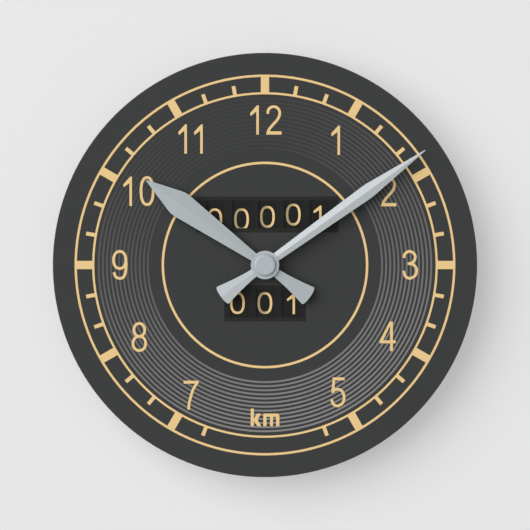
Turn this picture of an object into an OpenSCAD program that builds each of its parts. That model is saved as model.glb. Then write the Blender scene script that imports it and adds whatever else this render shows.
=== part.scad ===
// Round wall clock: a printed acrylic disc with a speedometer-style dial, two
// folded hands and a quartz movement behind it, with its cell in place.
// Bench frame: X right, Y up, Z towards the viewer. The wall is at z = 0 and the
// hands turn about the line x = y = 0. Angles of hands are clockwise from twelve.

/* [Disc] */
// Diameter of the disc
disc_d = 203.2; // [170:0.2:260]
// Thickness of the disc
disc_t = 6; // [3:0.5:8]
// Bevel on the disc's two edges
disc_arris = 0.3; // [0.1:0.1:0.8]
// Thickness of the printed ground
ground_t = 0.1; // [0.05:0.05:0.2]
// Thickness of the marks printed on the ground
mark_t = 0.1; // [0.05:0.05:0.2]

/* [Dial] */
// Edge of the disc to the middle of the outer scale ring
outer_ring_inset = 11; // [6:0.5:14]
// Line width of the outer scale ring
outer_ring_w = 1.1; // [0.8:0.05:2]
// Middle of the outer scale ring to the middle of the inner one
scale_w = 8.4; // [6:0.2:11]
// Line width of the inner scale ring
inner_ring_w = 1; // [0.8:0.05:2]
// Width of an hour block
block_w = 3.95; // [2:0.05:6]
// Width of a tick
tick_w = 1.8; // [0.8:0.1:3]
// Length of a tick from the middle of the inner ring
tick_l = 4.7; // [2:0.1:5.5]
// Inner scale ring to the outermost groove
groove_inset = 2.6; // [1.6:0.1:4]
// Distance from groove to groove; as many grooves are drawn as the band takes
groove_pitch = 1.96; // [1.4:0.02:2.6]
// Clear band between the inner circle and the innermost groove
circle_margin = 6.9; // [4:0.1:12]
// Line width of a groove
groove_w = 0.9; // [0.4:0.05:1.2]
// Radius of the inner circle, at the middle of its line
circle_r = 48.9; // [46:0.1:50]
// Line width of the inner circle
circle_w = 1.15; // [0.8:0.05:2]

/* [Counters] */
// Height of a counter window
window_h = 17.2; // [15:0.1:20]
// Width of one number drum
drum_w = 8.9; // [8:0.1:11]
// Height of one number drum
drum_h = 13.4; // [12:0.1:14.8]
// Distance from drum to drum
drum_pitch = 12.35; // [11.5:0.05:13]
// Side margin from the outer drums to the upper window's edge
upper_margin = 4.9; // [1:0.1:6]
// Side margin from the outer drums to the lower window's edge
lower_margin = 2.7; // [1:0.1:6]
// Number of drums in the upper counter
upper_drums = 5; // [2:1:5]
// Number of drums in the lower counter
lower_drums = 3; // [1:1:4]
// Middle of the upper window to the right of the spindle
upper_x = 1.15; // [0:0.05:3]
// Middle of the upper window above the spindle
upper_y = 24.2; // [20:0.2:30]
// Middle of the lower window below the spindle
lower_y = 18.4; // [18:0.2:30]

/* [Hands] */
// Clock angle of the hour hand
hour_angle = 305.5; // [0:0.5:360]
// Spindle to the tip of the hour hand
hour_tip = 69.6; // [60:0.2:78]
// Spindle to the widest place of the hour hand
hour_shoulder = 50.6; // [40:0.2:54]
// Greatest width of the hour hand
hour_w = 12.6; // [8:0.1:16]
// Spindle to the end of the hour hand's tail
hour_tail = 26.4; // [20:0.2:34]
// Clock angle of the minute hand
minute_angle = 54.4; // [0:0.5:360]
// Spindle to the tip of the minute hand
minute_tip = 93.8; // [80:0.2:100]
// Spindle to the widest place of the minute hand
minute_shoulder = 60.6; // [50:0.2:70]
// Greatest width of the minute hand
minute_w = 7; // [5:0.1:10]
// Spindle to the end of the minute hand's tail
minute_tail = 25.9; // [20:0.2:34]
// Width of a hand where it leaves the hub
neck_w = 4.2; // [3.6:0.1:5]
// Width of a tail at its end
tail_w = 9.8; // [7:0.1:12]
// Bulge of a tail's rounded end
tail_bulge = 1.2; // [0.4:0.1:2]
// Sheet thickness of a hand
hand_t = 0.5; // [0.3:0.05:0.6]
// Fall of a blade's facets from the centre fold, for each millimetre sideways
hand_fall = 0.12; // [0.04:0.01:0.14]
// Fall of a tail's facets, where the fold fades out
tail_fall = 0.04; // [0.02:0.01:0.1]
// Thickness of the flat hub of a hand
hub_t = 0.9; // [0.7:0.05:1.2]
// Diameter of the flat hub of a hand
hub_d = 11; // [9:0.1:13]
// Diameter of the boss on the minute hand
boss_d = 13.5; // [11:0.1:15]
// Thickness of the boss on the minute hand
boss_t = 0.6; // [0.4:0.05:1]
// Diameter of the cap nut
cap_d = 10.2; // [7:0.1:10.5]
// Height of the cap nut
cap_h = 1.6; // [1.4:0.1:2.2]

/* [Fixing through the disc] */
// Thread diameter of the bushing
bushing_d = 7.9; // [7.5:0.1:9]
// Diameter of the hole in the disc
disc_bore_d = 8.1; // [8:0.1:8.4]
// Thickness of the rubber washer
rubber_t = 1; // [0.5:0.1:1.5]
// Diameter of the rubber washer
rubber_d = 18; // [14:0.5:24]
// Thickness of the brass washer
washer_t = 0.5; // [0.3:0.1:0.8]
// Diameter of the brass washer
washer_d = 12.8; // [12:0.1:13.4]
// Thickness of the hex nut
nut_t = 2.2; // [1.8:0.1:3]
// Width of the hex nut across its flats
nut_af = 10.5; // [10:0.1:11]

/* [Movement case] */
// Room between the back cover and the lowest wheel
train_lift = 1.5; // [1.5:0.1:4]
// Thickness of the side walls
wall_t = 1.4; // [1.2:0.1:1.8]
// Thickness of the front wall
front_t = 1.5; // [1.3:0.1:2.4]
// Thickness of the back cover
back_t = 1.6; // [1.2:0.1:1.8]
// Radius of the case's corners
corner_r = 4; // [2:0.5:6]
// Spindle to the inside of the top wall
room_above = 26.6; // [26:0.1:30]
// Spindle to the partition over the cell
room_below = 10.6; // [10.3:0.1:12]
// Thickness of the partition over the cell
partition_t = 1; // [0.8:0.1:1.4]

/* [Cell] */
// Diameter of the cell
cell_d = 14.5; // [14:0.1:14.5]
// Length of the cell
cell_l = 50.5; // [50:0.1:52]
// Cell to the walls along its sides
cell_gap = 0.25; // [0.15:0.05:0.4]
// Back of the cell to the wall that the clock hangs on
cell_back = 0.5; // [0.3:0.1:1]
// Cell to the front wall, which is thinner there
cell_front = 0.35; // [0.2:0.05:0.5]
// Thickness of the front wall over the cell
bay_wall = 1.15; // [0.9:0.05:1.5]
// Room at the ends of the cell for both contacts
contact_room = 2.7; // [2.4:0.1:3.2]

/* [Hanger] */
// Radius of the round hole of the hanger
hanger_r = 4; // [3.5:0.1:5]
// Width of the slot above the hole
slot_w = 3.6; // [3:0.1:4]
// Top of the case to the middle of the hole
hanger_up = 6; // [6:0.1:8]
// Width of the hanger tab
tab_w = 20; // [16:0.5:26]
// Thickness of the hanger tab
tab_t = 2.4; // [1.8:0.1:3]

/* [Gear train] */
// Distance of the third wheel from the spindle
third_dist = 9.8; // [9.8:0.02:9.9]
// Distance of the minute wheel from the spindle
motion_dist = 10.1; // [10.08:0.02:10.2]
// Distance of the fifth wheel from the spindle
fifth_dist = 7.7; // [7.6:0.02:7.8]
// Distance of the rotor from the fifth wheel
rotor_dist = 6; // [5.9:0.02:6.1]
// Thickness of a toothed wheel
wheel_t = 0.8; // [0.7:0.05:0.85]
// Height of the free space between two wheels
level_gap = 0.9; // [0.85:0.05:0.95]
// Running clearance of a shaft or tube in its bore
running_gap = 0.08; // [0.05:0.01:0.1]
// Diameter of the setting knob
knob_d = 8.4; // [7:0.1:9]
// Thickness of the setting knob
knob_t = 1.6; // [1.2:0.1:2]

/* [Hidden] */
$fn = 96;
e = 0.01;

// Case outline, worked out from the cell and the room that the train needs
inner_x = (cell_l + contact_room) / 2;
case_x = inner_x + wall_t;
bay_top = -room_below - partition_t;
bay_bottom = bay_top - cell_d - 2 * cell_gap;
case_bottom = bay_bottom - wall_t;
case_top = room_above + wall_t;
inner_r = max(0.5, corner_r - wall_t);
hanger_y = case_top + hanger_up;

// Setting knob and its well
knob_z = 0.4;
well_gap = 0.5;
well_wall = 0.8;
well_floor = 0.7;
well_r = knob_d / 2 + well_gap;
well_z = knob_z + knob_t + 0.3;
well_top = well_z + well_floor;

// Heights in the train, from the lowest leaves to the front wall
end_play = 0.3;
leaf_over = 0.3;
flange_t = 0.5;
flange_r = 5.2;
clutch_h = 0.95;
collar_t = 0.6;
collar_gap = 0.05;
plate_t = 0.8;
plate_under = 0.5;
plate_over = 0.1;
train_h = 6 * wheel_t + 3 * level_gap + 2 * leaf_over + plate_under + plate_t + plate_over
    + collar_t + collar_gap + clutch_h + end_play + flange_t;
train_low = max(back_t + train_lift, well_top + 0.1);
case_depth = max(train_low + train_h + front_t, cell_back + cell_d + cell_front + bay_wall);
front_z = case_depth - front_t;

// Levels of the train: the underside of each wheel and of the middle plate
hour_z = front_z - flange_t - end_play - wheel_t;
minute_z = hour_z - level_gap - wheel_t;
centre_z = minute_z - leaf_over - clutch_h - wheel_t;
plate_top = centre_z - collar_gap - collar_t - plate_over;
plate_z = plate_top - plate_t;
third_z = plate_z - plate_under - wheel_t;
second_z = third_z - level_gap - wheel_t;
fifth_z = second_z - level_gap - wheel_t;

// Levels of the fixing and the hands, counted up from the front of the movement
disc_z = case_depth + rubber_t;
face_z = disc_z + disc_t;
print_z = face_z + ground_t;
nut_z = print_z + washer_t;
bushing_end = nut_z + nut_t + 0.3;
collet_z = bushing_end + end_play;
collet_l = 1;
hour_hand_z = collet_z + collet_l + hub_t;
hour_tube_end = hour_hand_z + 0.3;
minute_hand_z = hour_tube_end + end_play + hub_t;
boss_z = minute_hand_z;
cap_z = boss_z + boss_t;
cap_roof = 0.8;
minute_tube_end = cap_z + cap_h - cap_roof - 0.1;

// Shafts and tubes
second_r = 0.5;
minute_bore_r = second_r + 0.1;
minute_r = 1.75;
hour_bore_r = minute_r + running_gap;
hour_r = 2.55;
bushing_bore_r = hour_r + running_gap;
collet_r = 3.3;
arbor_r = 0.8;
core_r = 0.6;
pivot_r = 0.4;
pivot_l = 0.8;
shoulder_gap = 0.1;
second_hub_r = 1;
motion_hub_r = 1.6;
collar_w = 0.85;

// Shoulders of the arbors at the front and at the back
third_top = centre_z + wheel_t + leaf_over;
motion_top = hour_z + wheel_t + leaf_over;
third_low = third_z - leaf_over;
second_low = second_z - leaf_over;
fifth_low = fifth_z - 0.1;
rotor_low = fifth_z - leaf_over;

// Bearing holes, a little deeper than the pivots, and the posts round them
bearing_bore_r = pivot_r + running_gap / 2;
bearing_deep = shoulder_gap + pivot_l + 0.2;
bearing_r = 1.2;
loose_gap = 0.2;

// Places of the arbors
function polar(r, a) = [r * cos(a), r * sin(a)];
third_turn = 150;
motion_turn = 15;
fifth_turn = 60;
rotor_turn = 75;
third_at = polar(third_dist, third_turn);
motion_at = polar(motion_dist, motion_turn);
fifth_at = polar(fifth_dist, fifth_turn);
rotor_at = fifth_at + polar(rotor_dist, rotor_turn);

// Tooth counts
cannon_n = 12;
minute_n = 36;
motion_n = 10;
hour_n = 40;
centre_n = 64;
third_leaf_n = 8;
third_n = 60;
second_leaf_n = 8;
second_n = 60;
fifth_leaf_n = 10;
fifth_n = 40;
rotor_n = 8;

// Lightening holes of the centre wheel
centre_hole_at = 5.6;
centre_hole_r = 1.3;

// Tooth form, in modules beyond and inside the pitch circle and in shares of the pitch
wheel_form = [0.9, 1.1, 0.42];
leaf_form = [0.7, 1.4, 0.36];
tip_share = 0.4;

function module_of(distance, n1, n2) = 2 * distance / (n1 + n2);
cannon_m = module_of(motion_dist, cannon_n, minute_n);
hour_m = module_of(motion_dist, hour_n, motion_n);
centre_m = module_of(third_dist, centre_n, third_leaf_n);
third_m = module_of(third_dist, third_n, second_leaf_n);
second_m = module_of(fifth_dist, second_n, fifth_leaf_n);
fifth_m = module_of(rotor_dist, fifth_n, rotor_n);
third_leaf_r = (third_leaf_n / 2 + leaf_form[0]) * centre_m;

// Phase of a gear that meshes with a driver of n1 teeth, seen from it at angle a
function mesh_phase(phase1, n1, n2, a) =
    a + 180 - (0.5 - (a - phase1) * n1 / 360) * 360 / n2;
minute_phase = mesh_phase(0, cannon_n, minute_n, motion_turn);
hour_phase = mesh_phase(0, motion_n, hour_n, motion_turn + 180);
third_phase = mesh_phase(0, second_leaf_n, third_n, third_turn);
centre_phase = mesh_phase(0, third_leaf_n, centre_n, third_turn + 180);
fifth_leaf_phase = mesh_phase(0, second_n, fifth_leaf_n, fifth_turn);
rotor_phase = mesh_phase(0, fifth_n, rotor_n, rotor_turn);

// Coil, stator and board
flange_coil_r = 4.2;
coil_flange_t = 1;
winding_r = 3.7;
spool_r = 2.4;
coil_l = 22;
coil_x = -1;
lamination_t = 0.8;
stator_z = second_z + 0.5;
core_z = stator_z + lamination_t;
coil_z = core_z + lamination_t / 2;
plate_top_y = 16;
coil_y = plate_top_y + 0.3 + flange_coil_r;
core_gap = 0.05;
arm_w = 3.2;
bar_w = 4;
magnet_r = 2.6;
magnet_l = 2.6;
magnet_gap = 0.4;
magnet_wall = 1;
magnet_z = stator_z + (lamination_t - magnet_l) / 2;
coil_side = 0.4;
arm_left = coil_x - coil_l / 2 - coil_side - arm_w / 2;
arm_right = coil_x + coil_l / 2 + coil_side + arm_w / 2;
board_z = back_t + 1.4;
board_t = 1;
board_x0 = 18.2;
board_x1 = inner_x - 1.4;
board_y0 = -room_below + 1.1;
board_y1 = 16;
board_peg_x = 21.7;
board_pegs = [-6.5, 13.5];
blob_at = [(board_x0 + board_x1) / 2 - 0.1, 1.5];
blob_r = 3.2;
blob_h = 1.1;
crystal_r = 1;
crystal_l = 6;
plate_pegs = [[-18.5, -8], [-18.5, 14], [16, -8], [16, 14]];
plate_rim = 0.5;
peg_r = 1.5;
post_r = 1.3;
pin_r = 0.6;
pin_gap = 0.05;
pin_over = 0.3;

// Cell and contacts
cell_r = cell_d / 2;
cell_y = (bay_top + bay_bottom) / 2;
cell_z = cell_back + cell_r;
cell_end_r = 5;
nub_r = 2.75;
nub_l = 1;
jacket_t = 0.15;
jacket_lip = 1.2;
contact_t = 0.4;
contact_w = 9;
contact_half = 4;
leaf_w = 6;
contact_gap = 0.05;
cell_x1 = inner_x - 1;
cell_x0 = cell_x1 - cell_l;
strip_h = 1.2;

// Snap hooks of the back cover
hook_y = [4.5, 20.5];
hook_w = 5;
hook_t = 1;
hook_gap = 0.1;
hook_z = back_t + 2.8;
lug_h = 0.8;

// Straight part of the hanger's slot above its round hole
slot_over = 0.8;

// Form of the hands
shoulder_soft = 2.4;
tip_half = 0.2;
hub_edge = boss_d / 2;

// Rounded shoulder of the cap nut: how far in and how far down it reaches
cap_soft = 0.9;
cap_drop = 0.5;

// Dial radii
disc_r = disc_d / 2;
outer_ring_r = disc_r - outer_ring_inset;
inner_ring_r = outer_ring_r - scale_w;
groove_r = inner_ring_r - groove_inset;
groove_count = 1 + floor((groove_r - circle_r - circle_margin) / groove_pitch);

module at(p, z = 0) {
    translate([p[0], p[1], z]) children();
}

module rod(r, z0, z1) {
    translate([0, 0, z0]) cylinder(r = r, h = z1 - z0);
}

module pipe(r, bore, z0, z1) {
    difference() {
        rod(r, z0, z1);
        rod(bore, z0 - 1, z1 + 1);
    }
}

module ring(r, w, z, t) {
    pipe(r + w / 2, r - w / 2, z, z + t);
}

module slab(x0, x1, y0, y1, z0, z1) {
    translate([x0, y0, z0]) cube([x1 - x0, y1 - y0, z1 - z0]);
}

// Rectangle with round corners, drawn with true arcs
module rounded(x0, x1, y0, y1, r) {
    translate([x0 + r, y0]) square([x1 - x0 - 2 * r, y1 - y0]);
    translate([x0, y0 + r]) square([x1 - x0, y1 - y0 - 2 * r]);
    for (x = [x0 + r, x1 - r], y = [y0 + r, y1 - r]) translate([x, y]) circle(r = r);
}

// Gear outline: straight flanks from the root, then sides that close in on a blunt tip
module gear(n, m, phase, form, z0, z1) {
    pitch_r = n * m / 2;
    half = form[2] * 180 / n;
    tooth = [[-form[1], -1], [0, -1], [form[0], -tip_share],
        [form[0], tip_share], [0, 1], [-form[1], 1]];
    translate([0, 0, z0]) linear_extrude(z1 - z0)
        polygon([for (i = [0 : n - 1], p = tooth)
            polar(pitch_r + p[0] * m, phase + i * 360 / n + p[1] * half)]);
}

// Wheel one level thick
module wheel(n, m, phase, z) {
    gear(n, m, phase, wheel_form, z, z + wheel_t);
}

// Leaves that stand a little beyond the wheel on the level z that they mesh with
module leaves(n, m, phase, z) {
    gear(n, m, phase, leaf_form, z - leaf_over, z + wheel_t + leaf_over);
}

// Shaft with a thinner pivot at each end, between two shoulders
module arbor(r, z0, z1) {
    rod(r, z0, z1);
    rod(pivot_r, z0 - pivot_l, z1 + pivot_l);
}

// The disc and what is printed on it

module acrylic_disc() {
    color("#2F3030") rotate_extrude($fn = 180)
        polygon([[disc_bore_d / 2, disc_z], [disc_r - disc_arris, disc_z], [disc_r, disc_z + disc_arris],
            [disc_r, face_z - disc_arris], [disc_r - disc_arris, face_z], [disc_bore_d / 2, face_z]]);
}

module face_print() {
    color("#3E3F3F") pipe(disc_r - disc_arris, disc_bore_d / 2, face_z, print_z);
}

module tick(r0, r1, w) {
    translate([-w / 2, r0, print_z]) cube([w, r1 - r0, mark_t]);
}

// Two rings with a block at each hour but the sixth, and ticks at the other tens
module scale_print() {
    color("#E3BE80") {
        ring(outer_ring_r, outer_ring_w, print_z, mark_t);
        ring(inner_ring_r, inner_ring_w, print_z, mark_t);
        for (a = [0 : 10 : 350]) rotate(-a) {
            if (a % 30 == 0 && a != 180) tick(inner_ring_r, outer_ring_r, block_w);
            if (a % 30 != 0 && abs(a - 180) > 10) tick(inner_ring_r, inner_ring_r + tick_l, tick_w);
        }
        ring(circle_r, circle_w, print_z, mark_t);
    }
}

module groove_print() {
    color("#6A6663")
        for (i = [0 : groove_count - 1]) ring(groove_r - i * groove_pitch, groove_w, print_z, mark_t);
}

// Places of the drums in a row of count drums
function drum_places(count) = [for (i = [0 : count - 1]) (i - (count - 1) / 2) * drum_pitch];

module drums(x, y, count, grow) {
    for (place = drum_places(count))
        translate([x + place - drum_w / 2, y - drum_h / 2, print_z - grow])
            cube([drum_w, drum_h, mark_t + 2 * grow]);
}

module window(x, y, count, margin) {
    w = (count - 1) * drum_pitch + drum_w + 2 * margin;
    difference() {
        translate([x - w / 2, y - window_h / 2, print_z]) cube([w, window_h, mark_t]);
        drums(x, y, count, 1);
    }
}

// What is printed in a window stays clear of the washer and of the inner circle's line
module counter_clear() {
    difference() {
        children();
        rod(washer_d / 2 + 0.2, print_z - 1, print_z + 1);
        ring(circle_r, circle_w, print_z - 1, 2);
    }
}

module window_print() {
    color("#2B2927") counter_clear() {
        window(upper_x, upper_y, upper_drums, upper_margin);
        window(0, -lower_y, lower_drums, lower_margin);
    }
}

module drum_print() {
    color("#1F1D1B") counter_clear() {
        drums(upper_x, upper_y, upper_drums, 0);
        drums(0, -lower_y, lower_drums, 0);
    }
}

// What clamps the disc to the movement

module threaded_bushing() {
    color("#C9A552") {
        pipe(bushing_d / 2, bushing_bore_r, front_z - flange_t, bushing_end);
        pipe(flange_r, bushing_d / 2 - e, front_z - flange_t, front_z);
    }
}

module rubber_washer() {
    color("#26272A") pipe(rubber_d / 2, bushing_d / 2 + 0.05, case_depth, disc_z);
}

module brass_washer() {
    color("#C9A552") pipe(washer_d / 2, bushing_d / 2 + 0.1, print_z, nut_z);
}

module hex_nut() {
    color("#C9A552") difference() {
        translate([0, 0, nut_z]) cylinder(d = nut_af / cos(30), h = nut_t, $fn = 6);
        rod(bushing_d / 2, nut_z - 1, nut_z + nut_t + 1);
    }
}

// The movement's case

module case_windows() {
    for (s = [-1, 1], y = hook_y)
        translate([s * (inner_x + wall_t / 2), y, hook_z + lug_h / 2])
            cube([wall_t + 0.4, hook_w + 0.6, lug_h + 0.4], center = true);
}

module case_front() {
    color("#1C1D1F") difference() {
        union() {
            difference() {
                translate([0, 0, back_t]) linear_extrude(case_depth - back_t)
                    rounded(-case_x, case_x, case_bottom, case_top, corner_r);
                translate([0, 0, back_t - 1]) linear_extrude(front_z - back_t + 1)
                    rounded(-inner_x, inner_x, bay_bottom, room_above, inner_r);
                slab(-inner_x + inner_r, inner_x - inner_r, bay_bottom, bay_top,
                    front_z - 1, case_depth - bay_wall);
            }
            for (p = plate_pegs) at(p) {
                rod(peg_r, plate_top, front_z + e);
                rod(pin_r, plate_z, plate_top + e);
            }
            at(third_at) rod(bearing_r, third_top + shoulder_gap, front_z + e);
            at(motion_at) rod(motion_hub_r, motion_top + shoulder_gap, front_z + e);
        }
        rod(bushing_d / 2, front_z - 1, case_depth + 1);
        at(third_at) rod(bearing_bore_r, third_top, third_top + bearing_deep);
        at(motion_at) rod(bearing_bore_r, motion_top, motion_top + bearing_deep);
        case_windows();
    }
}

module back_bearing(p, low) {
    at(p) difference() {
        rod(bearing_r, back_t - e, low - shoulder_gap);
        rod(bearing_bore_r, low - bearing_deep, low);
    }
}

module hook(side) {
    mirror([side < 0 ? 1 : 0, 0, 0]) {
        x = inner_x - hook_gap;
        slab(x - hook_t, x, -hook_w / 2, hook_w / 2, back_t - e, hook_z + lug_h);
        translate([x - e, hook_w / 2, hook_z]) rotate([90, 0, 0]) linear_extrude(hook_w)
            polygon([[0, 0], [hook_gap + 0.5, 0], [0, lug_h]]);
    }
}

module hanger_tab() {
    difference() {
        union() {
            slab(-tab_w / 2, tab_w / 2, case_top - 2, hanger_y, 0, tab_t);
            translate([0, hanger_y, 0]) cylinder(d = tab_w, h = tab_t);
        }
        slab(-tab_w, tab_w, case_top - 3, case_top, back_t, tab_t + 1);
        translate([0, hanger_y, -1]) cylinder(r = hanger_r, h = tab_t + 2);
        translate([-slot_w / 2, hanger_y, -1]) cube([slot_w, hanger_r + slot_over, tab_t + 2]);
        translate([0, hanger_y + hanger_r + slot_over, -1]) cylinder(d = slot_w, h = tab_t + 2);
    }
}

module case_back() {
    color("#1C1D1F") {
        difference() {
            union() {
                linear_extrude(back_t) rounded(-case_x, case_x, case_bottom, case_top, corner_r);
                at(motion_at) rod(well_r + well_wall, 0, well_z + well_floor);
            }
            translate([0, 0, -1]) linear_extrude(back_t + 2) {
                rounded(-inner_x, inner_x, bay_bottom, bay_top, inner_r);
                translate([-inner_x, bay_top - inner_r]) square([2 * inner_x, inner_r]);
            }
            at(motion_at) rod(well_r, -1, well_z);
            at(motion_at) rod(arbor_r + running_gap, -1, well_z + well_floor + 1);
        }
        slab(-inner_x + 0.6, inner_x - 0.6, bay_top, bay_top + partition_t, back_t - e, front_z);
        for (p = plate_pegs) at(p) rod(peg_r, back_t - e, plate_z);
        for (x = [arm_left, arm_right]) translate([x, coil_y, 0]) {
            rod(post_r, back_t - e, stator_z);
            rod(pin_r, stator_z - e, core_z + lamination_t + pin_over);
        }
        for (y = board_pegs) translate([board_peg_x, y, 0]) {
            rod(post_r, back_t - e, board_z);
            rod(pin_r, board_z - e, board_z + board_t + pin_over);
        }
        back_bearing(third_at, third_low);
        back_bearing([0, 0], second_low);
        back_bearing(fifth_at, fifth_low);
        back_bearing(rotor_at, rotor_low);
        for (y = hook_y) translate([0, y, 0]) {
            hook(1);
            hook(-1);
        }
        hanger_tab();
    }
}

module middle_plate() {
    color("#D8D5CB") difference() {
        translate([0, 0, plate_z]) linear_extrude(plate_t)
            rounded(plate_pegs[0][0] - peg_r - plate_rim, plate_pegs[2][0] + peg_r + plate_rim,
                -room_below + plate_rim, plate_top_y, peg_r);
        rod(minute_r + running_gap, plate_z - 1, plate_top + 1);
        at(third_at) rod(third_leaf_r + loose_gap, plate_z - 1, plate_top + 1);
        at(motion_at) rod(arbor_r + loose_gap, plate_z - 1, plate_top + 1);
        for (p = [fifth_at, rotor_at]) at(p) rod(bearing_bore_r, plate_z - 1, plate_top + 1);
        for (p = plate_pegs) at(p) rod(pin_r + pin_gap, plate_z - 1, plate_top + 1);
    }
}

// Cell, contacts and electronics

module battery_profile(r, x0, x1, edge) {
    translate([x0, cell_y, cell_z]) rotate([0, 90, 0]) rotate_extrude()
        polygon([[0, 0], [r - edge, 0], [r, edge], [r, x1 - x0 - edge], [r - edge, x1 - x0], [0, x1 - x0]]);
}

module battery_cell() {
    color("#C8CBCD") {
        battery_profile(cell_r - jacket_t, cell_x0 + jacket_t, cell_x1 - nub_l - jacket_t, 0.3);
        battery_profile(cell_end_r, cell_x0, cell_x0 + 1, 0.1);
        battery_profile(nub_r, cell_x1 - nub_l - 1, cell_x1, 0.3);
    }
}

module battery_jacket() {
    color("#2F5D8C") difference() {
        battery_profile(cell_r, cell_x0, cell_x1 - nub_l, 0.35);
        battery_profile(cell_r - jacket_t, cell_x0 + jacket_t, cell_x1 - nub_l - jacket_t, 0.3);
        battery_profile(cell_r - jacket_lip, cell_x0 - 1, cell_x1 + 1, 0.1);
    }
}

module contact_positive() {
    x = inner_x - contact_t;
    color("#C3C6C8") {
        slab(x, inner_x, cell_y - contact_w / 2, cell_y + contact_w / 2,
            cell_z - contact_half, cell_z + contact_half - 0.5);
        translate([x + e, cell_y, cell_z]) rotate([0, -90, 0])
            cylinder(r = leaf_w / 2, h = x - cell_x1 - contact_gap + e);
        slab(x, inner_x, cell_y, board_y0 + 3.2, board_z + board_t, board_z + board_t + strip_h);
        slab(board_x1 - 1.6, x + e, board_y0 + 0.6, board_y0 + 3.2,
            board_z + board_t, board_z + board_t + contact_t);
    }
}

// The leaf bends out to the cell and back to the plate behind it
module contact_negative() {
    x = -inner_x + contact_t;
    z0 = board_z + board_t;
    reach = cell_x0 - contact_gap;
    color("#C3C6C8") {
        slab(-inner_x, x, cell_y - contact_w / 2, cell_y + contact_w / 2,
            cell_z - contact_half, cell_z + contact_half);
        translate([0, cell_y + leaf_w / 2, 0]) rotate([90, 0, 0]) linear_extrude(leaf_w)
            polygon([[x - e, cell_z + contact_half], [x - e, cell_z + 3], [reach - contact_t, cell_z],
                [x + 0.2, cell_z - 3], [x + 0.6, cell_z - 3.2],
                [reach, cell_z - 0.2], [reach, cell_z + 0.2]]);
        slab(-inner_x, x, cell_y, -room_below + contact_t, z0, z0 + strip_h);
        slab(-inner_x, board_x0 + 1.6, -room_below, -room_below + contact_t, z0, z0 + strip_h);
        slab(board_x0, board_x0 + 1.6, -room_below + contact_t - e, board_y0 + 1.2, z0, z0 + contact_t);
    }
}

module circuit_board() {
    color("#2F6B45") difference() {
        slab(board_x0, board_x1, board_y0, board_y1, board_z, board_z + board_t);
        for (y = board_pegs) at([board_peg_x, y]) rod(pin_r + pin_gap, board_z - 1, board_z + board_t + 1);
    }
}

module chip_blob() {
    color("#141414") difference() {
        at(blob_at, board_z + board_t + blob_h - blob_r) sphere(r = blob_r);
        at(blob_at, board_z + board_t - 2 * blob_r) cylinder(r = blob_r + 1, h = 2 * blob_r);
    }
}

module quartz_crystal() {
    color("#C9CCCE") translate([board_x1 - 1.5, blob_at[1] + blob_r, board_z + board_t + crystal_r])
        rotate([-90, 0, 0]) cylinder(r = crystal_r, h = crystal_l);
}

module lamination(z) {
    translate([0, 0, z]) linear_extrude(lamination_t) difference() {
        children();
        for (x = [arm_left, arm_right]) translate([x, coil_y]) circle(r = pin_r + pin_gap);
    }
}

module stator() {
    end_y = coil_y + arm_w / 2;
    low_y = rotor_at[1] - bar_w / 2;
    color("#9DA1A4") lamination(stator_z) difference() {
        union() {
            for (x = [arm_left, arm_right])
                translate([x - arm_w / 2, low_y]) square([arm_w, end_y - low_y]);
            translate([arm_left - arm_w / 2, low_y]) square([arm_right - arm_left + arm_w, bar_w]);
            translate(rotor_at) circle(r = magnet_r + magnet_gap + magnet_wall);
        }
        translate(rotor_at) circle(r = magnet_r + magnet_gap);
    }
}

module coil_core() {
    color("#9DA1A4") lamination(core_z)
        translate([arm_left - arm_w / 2, coil_y - arm_w / 2]) square([arm_right - arm_left + arm_w, arm_w]);
}

module along_coil(l) {
    translate([coil_x - l / 2, coil_y, coil_z]) rotate([0, 90, 0]) children();
}

module coil_bobbin() {
    color("#D8D5CB") difference() {
        along_coil(coil_l) {
            cylinder(r = spool_r, h = coil_l);
            for (z = [0, coil_l - coil_flange_t])
                translate([0, 0, z]) cylinder(r = flange_coil_r, h = coil_flange_t);
        }
        slab(coil_x - coil_l, coil_x + coil_l, coil_y - arm_w / 2 - core_gap, coil_y + arm_w / 2 + core_gap,
            core_z - core_gap, core_z + lamination_t + core_gap);
    }
}

module coil_winding() {
    l = coil_l - 2 * coil_flange_t;
    color("#B4642C") difference() {
        along_coil(l) cylinder(r = winding_r, h = l);
        along_coil(l + 2) cylinder(r = spool_r, h = l + 2);
    }
}

// Hands gearing, in front of the middle plate

module minute_tube() {
    color("#D9B65E") difference() {
        union() {
            rod(minute_r, plate_z + 0.1, minute_tube_end);
            rod(minute_r + collar_w, centre_z - collar_gap - collar_t, centre_z - collar_gap);
            leaves(cannon_n, cannon_m, 0, minute_z);
        }
        rod(minute_bore_r, plate_z - 1, minute_tube_end + 1);
    }
}

// Spring washer with three pads that press on the centre wheel
module clutch_spring() {
    top = minute_z - leaf_over;
    spring_r = 3.6;
    spring_t = 0.3;
    pad_r = 0.6;
    color("#C3C6C8") {
        pipe(spring_r, minute_r, top - spring_t, top);
        for (a = [0, 120, 240]) rotate(a) translate([spring_r - pad_r - 0.1, 0, 0])
            rod(pad_r, centre_z + wheel_t + 0.05, top - spring_t + e);
    }
}

module hour_wheel() {
    color("#E6E2D6") difference() {
        union() {
            wheel(hour_n, hour_m, hour_phase, hour_z);
            rod(hour_r, hour_z, hour_tube_end);
        }
        rod(hour_bore_r, hour_z - 1, hour_tube_end + 1);
    }
}

module minute_wheel() {
    color("#E6E2D6") at(motion_at) {
        wheel(minute_n, cannon_m, minute_phase, minute_z);
        leaves(motion_n, hour_m, 0, hour_z);
        rod(arbor_r, knob_z, motion_top);
        rod(pivot_r, motion_top - e, motion_top + pivot_l);
        rod(motion_hub_r, minute_z - 0.3, hour_z - leaf_over - 0.15);
    }
}

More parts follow.
